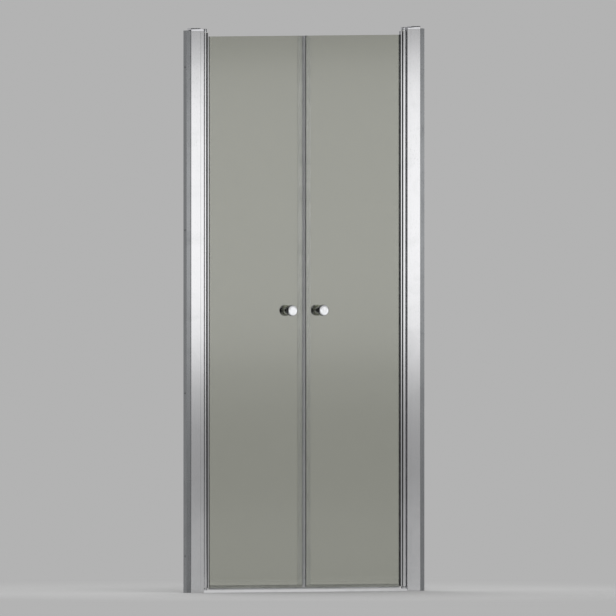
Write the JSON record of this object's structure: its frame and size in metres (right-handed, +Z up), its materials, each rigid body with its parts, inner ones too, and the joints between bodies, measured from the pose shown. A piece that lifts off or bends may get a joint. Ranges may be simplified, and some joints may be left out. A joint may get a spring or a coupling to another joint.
{
  "type": "shower door",
  "caption": "Niche shower door: clear glass leaves swing both ways on full-height pivot columns between telescoping metal posts, with round knobs, clear seals and a low sill.",
  "frame": {"origin": "middle of the sill's underside on the tray, halfway between the walls and in the plane of the closed leaves", "axes": "+X along the opening to the right-hand wall, -Y towards the room, +Z up"},
  "size_m": [0.882, 0.068, 1.85],
  "materials": {
    "polished_aluminium": "polished",
    "channel_aluminium": "satin",
    "cast_chrome": "polished",
    "knob_chrome": "polished",
    "cap_chrome": "polished",
    "steel": "satin",
    "nylon": "satin",
    "dark_seal": "matte",
    "clear_seal": "gloss",
    "glass": "polished"
  },
  "bodies": {
    "frame": {"left_wall_channel": "channel_aluminium", "right_wall_channel": "channel_aluminium", "left_post": "polished_aluminium", "right_post": "polished_aluminium", "left_top_cap": "cap_chrome", "right_top_cap": "cap_chrome", "left_post_seal": "dark_seal", "right_post_seal": "dark_seal", "left_top_bracket": "cast_chrome", "right_top_bracket": "cast_chrome", "left_bottom_bracket": "cast_chrome", "right_bottom_bracket": "cast_chrome", "left_top_pin": "steel", "right_top_pin": "steel", "left_bottom_pin": "steel", "right_bottom_pin": "steel", "left_bracket_screws": "steel", "right_bracket_screws": "steel", "left_post_screws": "steel", "right_post_screws": "steel", "sill": "polished_aluminium"},
    "left_leaf": {"left_column": "polished_aluminium", "left_top_bush": "nylon", "left_bottom_bush": "nylon", "left_glazing_gasket": "dark_seal", "left_glass": "glass", "left_meeting_seal": "clear_seal", "left_sweep": "clear_seal", "left_outer_knob": "knob_chrome", "left_inner_knob": "knob_chrome", "left_knob_stud": "steel", "left_knob_washers": "clear_seal"},
    "right_leaf": {"right_column": "polished_aluminium", "right_top_bush": "nylon", "right_bottom_bush": "nylon", "right_glazing_gasket": "dark_seal", "right_glass": "glass", "right_meeting_seal": "clear_seal", "right_sweep": "clear_seal", "right_outer_knob": "knob_chrome", "right_inner_knob": "knob_chrome", "right_knob_stud": "steel", "right_knob_washers": "clear_seal"}
  },
  "joints": [
    {"name": "left_leaf_swing", "type": "hinge", "parent": "frame", "child": "left_leaf", "pos_m": [-0.3693, 0, 0.92], "axis": [0, 0, 1], "range_deg": [-90, 90]},
    {"name": "right_leaf_swing", "type": "hinge", "parent": "frame", "child": "right_leaf", "pos_m": [0.3693, 0, 0.92], "axis": [0, 0, 1], "range_deg": [-90, 90]}
  ]
}
